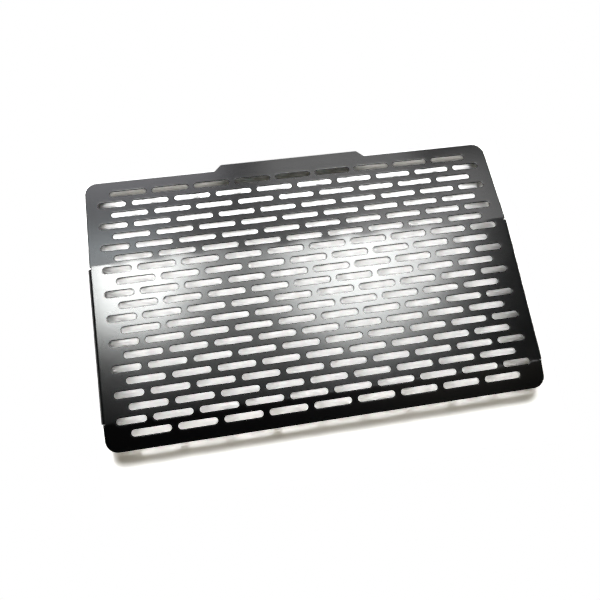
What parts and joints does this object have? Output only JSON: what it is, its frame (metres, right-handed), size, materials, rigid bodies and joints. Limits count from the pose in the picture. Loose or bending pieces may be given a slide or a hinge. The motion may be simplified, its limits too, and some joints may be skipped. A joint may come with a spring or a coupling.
{
  "type": "motorcycle radiator guard",
  "caption": "Slotted sheet-metal guard for a motorcycle radiator, folded across near both ends and down at both sides, with a tab on its upper edge.",
  "frame": {"origin": "under the middle of the guard's box, at the height of the side flanges' lower edges, on which it lies", "axes": "+X across the guard, from side flange to side flange; +Y up the sheet, from the plain edge to the edge with the tab; +Z out of the middle panel's outer face"},
  "size_m": [0.353, 0.23, 0.022],
  "materials": {
    "black_coat": "satin black powder coat"
  },
  "bodies": {
    "root": {"guard_sheet": "black_coat"}
  },
  "joints": []
}
